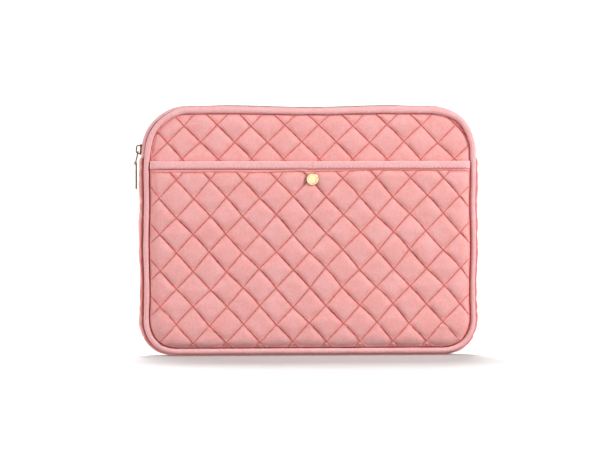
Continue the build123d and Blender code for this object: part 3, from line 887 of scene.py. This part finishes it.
for place, side in FRONT_BACK.items():
    low = binding_low.z if side < 0 else 0
    quilting_stitches(
        f"{place}_quilting_thread", PANEL_QUILT, panel_shape(side),
        lambda x, z: on_panel(x, z) & (z > low), side,
    )
for place, side in HALVES.items():
    quilting_stitches(
        f"pocket_quilting_thread_{place}", POCKET_QUILT, pocket_shape,
        lambda x, z: on_pocket(x, z) & (side * (x - snap.x) > 0), -1,
    )
for place, side in HALVES.items():
    starts = np.arange(4 * MM, pocket_high.x - 6 * MM, STITCH + STITCH_GAP)
    x = snap.x + side * (starts[:, None] + STITCH_SHARES * STITCH)
    x = x[(np.abs(x) < pocket_high.x - 1 * MM).all(axis=1)]
    y = -(pocket_depth(x, POCKET_TOP) + 1.12 * MM)
    z = binding_low.z + 1.5 * MM + 0 * x
    stitch_mesh(f"binding_thread_{place}", np.stack([x, y, z], axis=-1), (0, -1, 0))


# ---------------------------------------------------------------- piping
def build_piping(name, side):
    """Covered cord round a panel, with the slight unevenness of bias-cut velvet."""
    path = loop_path(PIPING_RADIUS)
    turns = np.linspace(0, 2 * np.pi, 18, endpoint=False)

    def section(index, s):
        swell = 1 + 0.035 * waves(s, 0, 24 * MM, 81 + side)
        pucker = 0.10 * MM * waves(s, 4 * MM * turns, 6 * MM, 83 + side)
        radius = (PIPING_RADIUS - 0.15 * MM) * swell + pucker
        taller = 0.22 * ramp(path[index, 1], 232 * MM, 248 * MM)
        offset = radius * (np.cos(turns) * (1 + taller) - taller)
        return np.column_stack([offset, side * PIPING_Y + radius * np.sin(turns)])

    # Painted shade: seam values darken the cord on its inner side, where it meets the panel, on its side towards
    # the gusset, and a little on its outer side.
    sewn = 0.5 * ramp(-np.cos(turns), 0.72, 0.98) + 0.2 * ramp(np.cos(turns), 0.72, 0.98)
    sewn = sewn + 0.4 * ramp(-side * np.sin(turns), -0.1, 0.5)
    sweep(name, path, section, TRIM, closed=True, seam=lambda index, s: sewn)


for place, side in FRONT_BACK.items():
    build_piping(f"{place}_piping_cover", side)


# ---------------------------------------------------------------- gusset
GUSSET_EDGE = 8.3 * MM
GUSSET_TUCK = 1.3 * MM


def build_gusset():
    """Quilted band round the sides and the bottom, crowned between the pipings and flat where it stands."""
    path = gusset_path(1.3 * MM)
    across = np.linspace(-1, 1, 21)
    inner = -(gusset_high.x - gusset_foam_high.x) - 2.4 * MM
    total = run_lengths(path)[-1]

    def face(index, s):
        y = across * GUSSET_EDGE
        relief, seam = puckered_relief(s + 0 * y, y, (*GUSSET_DIAMOND, total / 2, 0), GUSSET_CROWN, 91)
        crown = (1 - np.abs(across) ** 2.6) ** 0.6
        down = max(0.0, -path[index, 3])
        pucker = 0.35 * MM * np.abs(across) ** 2 * waves(s, 8 * MM * across, 9 * MM, 95)
        out = -1.7 * MM * (1 - crown) + (relief - 1.5 * MM) * (1 - 0.55 * down) * crown + pucker * (1 - down)
        out = out - 0.9 * MM * (1 - ramp(min(s, total - s), 0, 4 * MM))
        if down > 0.5:
            out = np.minimum(out + 0.7 * MM, 0)
        # Seam values on the quilting lines and along both edges, where the band meets the pipings, paint shade
        # there.
        return out, y, np.maximum(seam * crown, 0.5 * seam_depth((1 - np.abs(across)) * GUSSET_EDGE))

    def section(index, s):
        out, y, _ = face(index, s)
        return [*zip(out, y), *((inner, turn * (GUSSET_EDGE - GUSSET_TUCK)) for turn in (1, 0, -1))]

    sweep("gusset_pad", path, section, VELVET, seam=lambda index, s: np.append(face(index, s)[2], (0, 0, 0)))


build_gusset()


# ---------------------------------------------------------------- lining
def build_lining(name, side):
    """Cloth over the inner side of the front or back panel."""
    xs, zs = np.linspace(-HALF_WIDTH, HALF_WIDTH, 60), np.linspace(0, TOP, 90)
    grid = plain_grid(xs, zs, outline_cuts(LINING_INSET, lining_low.z))

    def shape(x, z):
        dimple = 0.18 * MM * (1 + waves(x, z, 22 * MM, 101 + side))
        return x, side * (lining_low.y + dimple), z, 0 * x

    closed_quilt(name, grid, shape, lambda x, z: side * (lining_high.y - 0.05 * MM) + 0 * x, LINING)


def build_gusset_lining():
    """Cloth inside the gusset, round both sides and the bottom."""
    low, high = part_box("gusset_lining_right")
    path = gusset_path(2.0 * MM)
    inner, outer = low.x - gusset_high.x, high.x - gusset_high.x - 0.05 * MM
    across = np.linspace(-1, 1, 9) * (high.y - 0.1 * MM)

    def section(index, s):
        dimple = 0.12 * MM * np.abs(waves(s, across, 16 * MM, 107))
        return [(outer, y) for y in across] + [(inner - d, y) for y, d in zip(across[::-1], dimple)]

    sweep("gusset_lining_cloth", path, section, LINING)
    return high.y - low.y, run_lengths(path)[-1]


for place, side in FRONT_BACK.items():
    build_lining(f"{place}_lining_cloth", side)
gusset_lining_flat = build_gusset_lining()

# ---------------------------------------------------------------- zip
ZIP_STEP = 2.0 * MM
TOOTH_PITCH = 2.2 * MM
TOOTH_LENGTH = 1.15 * MM
TOOTH_OVERLAP = -0.45 * MM
TOOTH_INNER, TOOTH_OUTER = -1.9 * MM, teeth_high.x - HALF_WIDTH
TOOTH_RISE = 0.3 * MM
PARTED_X = -111 * MM
FLAT_END = 105 * MM
STOPS_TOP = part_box("zip_end_stops")[1].z + 0.7 * MM
TAPE_THICK = 0.6 * MM
STRIP_THICK = 0.75 * MM
STRIP_ROLL = 0.25 * MM
SLIDER_SIDE = (-166 * MM, -135 * MM)


def zip_ribbon(name, node, thick, side, material, roll=0.0):
    """Tape or strip of the zip on one side, from end to end over the mouth. It stands a little higher on the
    slider's side."""
    low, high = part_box(node)
    inner, outer = high.x - thick - HALF_WIDTH, high.x - HALF_WIDTH
    path = above(loop_path(0, ZIP_STEP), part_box("back_zip_strip")[0].z)
    across = np.linspace(0, 1, 7)

    def section(index, s):
        lift = (roll + 2.2 * roll * (1 - ramp(path[index, 0], *SLIDER_SIDE))) * np.sin(np.pi * across)
        lift = lift + 0.08 * MM * waves(s, across * 10 * MM, 14 * MM, 111 + side)
        y = low.y + (high.y - low.y) * across
        under = [(inner, side * depth) for depth in (high.y, (low.y + high.y) / 2, low.y)]
        return [*zip(outer - 0.1 * MM + lift, side * y), *under]

    sweep(name, path, section, material)


def teeth_row(name, side):
    """One row of separate metal teeth, each clamped on the tape's edge. They mesh with the other row's, except
    where the slider travels between them."""
    work = bmesh.new()
    path = above(loop_path(0, 0.2 * MM), teeth_low.z)
    lengths = run_lengths(path)
    far = teeth_high.y
    first = 0.55 if side > 0 else 1.05
    for k in range(int(lengths[-1] / TOOTH_PITCH) - 1):
        x, z, out_x, out_z = path[np.searchsorted(lengths, (k + first) * TOOTH_PITCH)]
        if x > 0 and z < STOPS_TOP:
            continue
        out, along = Vector((out_x, 0, out_z)), Vector((out_z, 0, -out_x))
        up = TOOTH_RISE * float(ramp(FLAT_END - abs(x), 0, 20 * MM)) * max(0.0, out_z)
        start = TOOTH_OVERLAP if x > PARTED_X else teeth_low.y
        middle = Vector((x, side * (start + far) / 2, z)) + out * ((TOOTH_INNER + TOOTH_OUTER) / 2 + up)
        turn = Matrix((along, (0, side, 0), out)).transposed().to_4x4()
        size = Matrix.Diagonal((TOOTH_LENGTH, far - start, TOOTH_OUTER - TOOTH_INNER, 1))
        made = bmesh.ops.create_cube(work, size=1, matrix=Matrix.Translation(middle) @ turn @ size)
        for vertex in made["verts"]:
            local = vertex.co - middle
            if local.y * side < 0:
                vertex.co -= along * (local @ along) * 0.25
                vertex.co -= out * (local @ out) * 0.3
        edges = {edge for vertex in made["verts"] for edge in vertex.link_edges}
        bmesh.ops.bevel(work, geom=list(edges), offset=0.24 * MM, segments=2, affect="EDGES", profile=0.5)
    mesh = bpy.data.meshes.new(name)
    work.to_mesh(mesh)
    work.free()
    points = np.array([v.co for v in mesh.vertices])
    mesh.vertices.foreach_set("co", settle(points).ravel())
    link_mesh(name, mesh, TEETH)


for place, side in FRONT_BACK.items():
    teeth_row(f"{place}_teeth_row", side)
for place, side in FRONT_BACK.items():
    zip_ribbon(f"{place}_tape", "back_zip_tape", TAPE_THICK, side, TAPE)
for place, side in FRONT_BACK.items():
    zip_ribbon(f"{place}_strip", "back_zip_strip", STRIP_THICK, side, TRIM, roll=STRIP_ROLL)


# ---------------------------------------------------------------- metal parts keep their CAD shape
METALS = {
    "slider_body": HARDWARE,
    "slider_bridge": HARDWARE,
    "pull_link": HARDWARE,
    "pull_tag": HARDWARE,
    "zip_end_stops": TEETH,
    "snap_cap": SNAP,
    "snap_socket": SNAP,
    "snap_stud": SNAP,
    "stud_rivet": SNAP,
}
for name, material in METALS.items():
    metal = frame["nodes"][name].data
    metal.materials.clear()
    metal.materials.append(material)

# ---------------------------------------------------------------- what stands for which CAD nodes
GUSSET_PLACES = ("left", "left_corner", "bottom", "right_corner", "right")
STANDS_FOR = {
    "front_panel": ("front_velvet", "front_foam", "mouth_velvet", "mouth_foam"),
    "back_panel": ("back_velvet", "back_foam"),
    "pocket_pad_left": ("pocket_velvet", "pocket_foam"),
    "pocket_lining_left": ("pocket_lining",),
    "pocket_binding_left": ("pocket_binding",),
    "front_piping_cover": ("front_piping", "front_piping_cord", "mouth_piping", "mouth_piping_cord"),
    "back_piping_cover": ("back_piping", "back_piping_cord"),
    "gusset_pad": ("gusset_foam", *(f"gusset_velvet_{place}" for place in GUSSET_PLACES)),
    "front_lining_cloth": ("front_lining", "mouth_lining"),
    "back_lining_cloth": ("back_lining",),
    "gusset_lining_cloth": [f"gusset_lining_{place}" for place in GUSSET_PLACES],
    "front_teeth_row": ("front_zip_teeth_ends", "mouth_zip_teeth"),
    "back_teeth_row": ("back_zip_teeth",),
    "front_tape": ("front_zip_tape_ends", "mouth_zip_tape"),
    "back_tape": ("back_zip_tape",),
    "front_strip": ("front_zip_strip_ends", "mouth_zip_strip"),
    "back_strip": ("back_zip_strip",),
}
for name, replaced in STANDS_FOR.items():
    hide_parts(*replaced)


for place, side in HALVES.items():
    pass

# ---------------------------------------------------------------- what rides on what
PANEL_PIECES = ("panel", "quilting_thread", "piping_cover", "lining_cloth", "teeth_row", "tape", "strip")
POCKET_PIECES = ("pocket_pad", "pocket_quilting_thread", "pocket_lining", "pocket_binding", "binding_thread")
for name in ("gusset_pad", "gusset_lining_cloth", *(f"back_{part}" for part in PANEL_PIECES)):
    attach(pieces[name], "sleeve_body")
for part in PANEL_PIECES:
    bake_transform(pieces[f"front_{part}"])
for part in POCKET_PIECES:
    for place, side in HALVES.items():
        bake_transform(pieces[f"{part}_{place}"])

# ---------------------------------------------------------------- floor, light and camera
FLOOR_RADIUS = 0.9
WALL_RADIUS, WALL_TOP = 6.0, 5.0
COVE_RADIUS = 1.0
LOOK_AT = (0, 0, 0.13)
SENSOR = 36
VIEW_WIDTH = 0.6148
VIEW_TARGET = Vector((-4.5 * MM, -12 * MM, 132.0 * MM))
VIEW_AZIMUTH, VIEW_ELEVATION, VIEW_DISTANCE = math.radians(-4.0), math.radians(2.2), 4.0


def stage_piece(name, profile, tone):
    """Plain matt surface round the object, turned from rows of radius and height. It casts no shadow of its own,
    and throws no diffuse light."""
    material, tree, shader = new_material(name)
    paper = ramp_node(tree, noise_node(tree, 30, 2, 0.5), (0.3, tone - 0.01), (0.7, tone + 0.01))
    tree.links.new(paper, shader.inputs["Base Color"])
    shader.inputs["Roughness"].default_value = 0.9
    turns = np.linspace(0, 2 * np.pi, 96, endpoint=False)
    vertices = [(r * math.cos(t), r * math.sin(t), z) for r, z in profile for t in turns]
    piece = make_object(name, vertices, tube_faces(len(profile), len(turns), capped=False), material)
    piece.visible_diffuse = piece.visible_shadow = False
    return piece


def place_lamp(data, place, power):
    """Lamp of this power in watts, at this place."""
    data.energy = power
    lamp = bpy.data.objects.new(data.name, data)
    lamp.location = place
    bpy.context.scene.collection.objects.link(lamp)
    return lamp


def area_light(name, place, target, size, power, colour=(1, 1, 1)):
    """Square soft light aimed at a point."""
    data = bpy.data.lights.new(name, "AREA")
    data.size = size
    data.color = colour
    lamp = place_lamp(data, place, power)
    lamp.rotation_euler = (Vector(target) - Vector(place)).to_track_quat("-Z", "Y").to_euler()
    return lamp


def round_light(name, place, radius, power):
    """Round soft lamp that shines all ways."""
    data = bpy.data.lights.new(name, "POINT")
    data.shadow_soft_size = radius
    return place_lamp(data, place, power)


def light_only(lamp, lit):
    """Makes a lamp light this object alone. The others still cast their shadows from it."""
    group = bpy.data.collections.new(lamp.name + "_lights")
    group.objects.link(lit)
    lamp.light_linking.receiver_collection = group


def camera():
    """Long lens, level with the sleeve's middle and a little to its left."""
    level = math.cos(VIEW_ELEVATION)
    back = Vector((math.sin(VIEW_AZIMUTH) * level, -math.cos(VIEW_AZIMUTH) * level, math.sin(VIEW_ELEVATION)))
    data = bpy.data.cameras.new("camera")
    data.sensor_width = SENSOR
    data.lens = SENSOR * VIEW_DISTANCE / VIEW_WIDTH
    made = bpy.data.objects.new("camera", data)
    made.location = VIEW_TARGET + back * VIEW_DISTANCE
    made.rotation_euler = (-back).to_track_quat("-Z", "Y").to_euler()
    bpy.context.scene.collection.objects.link(made)
    bpy.context.scene.camera = made


def studio_air():
    """Faint warm light from all round."""
    world = bpy.data.worlds.new("studio")
    world.use_nodes = True
    background = world.node_tree.nodes["Background"]
    background.inputs["Color"].default_value = (1.0, 0.965, 0.96, 1)
    background.inputs["Strength"].default_value = 0.36
    bpy.context.scene.world = world


cove = [
    (WALL_RADIUS - COVE_RADIUS * (1 - math.sin(turn)), COVE_RADIUS * (1 - math.cos(turn)))
    for turn in np.linspace(0, math.pi / 2, 10)
]
floor = stage_piece("floor", [(1 * MM, 0.0), (FLOOR_RADIUS, 0.0)], 0.56)
surround = stage_piece("surround", [(FLOOR_RADIUS, 0.0), *cove, (WALL_RADIUS, WALL_TOP)], 0.94)
area_light("key", (1.85, -1.45, 1.3), LOOK_AT, 0.5, 67, (1.0, 0.99, 0.98))
area_light("fill", (-2.45, -0.85, 0.45), LOOK_AT, 1.2, 38)
area_light("rear", (-1.5, 2.3, 0.8), LOOK_AT, 1.4, 48)
light_only(area_light("floor_wash", (0.0, 1.15, 1.85), (0, -0.1, 0), 1.1, 78), floor)
light_only(round_light("surround_lamp", (0.0, 0.0, 3.0), 0.5, 1600), surround)
studio_air()
camera()
bpy.context.scene.view_settings.view_transform = "Standard"

bpy.context.view_layer.update()
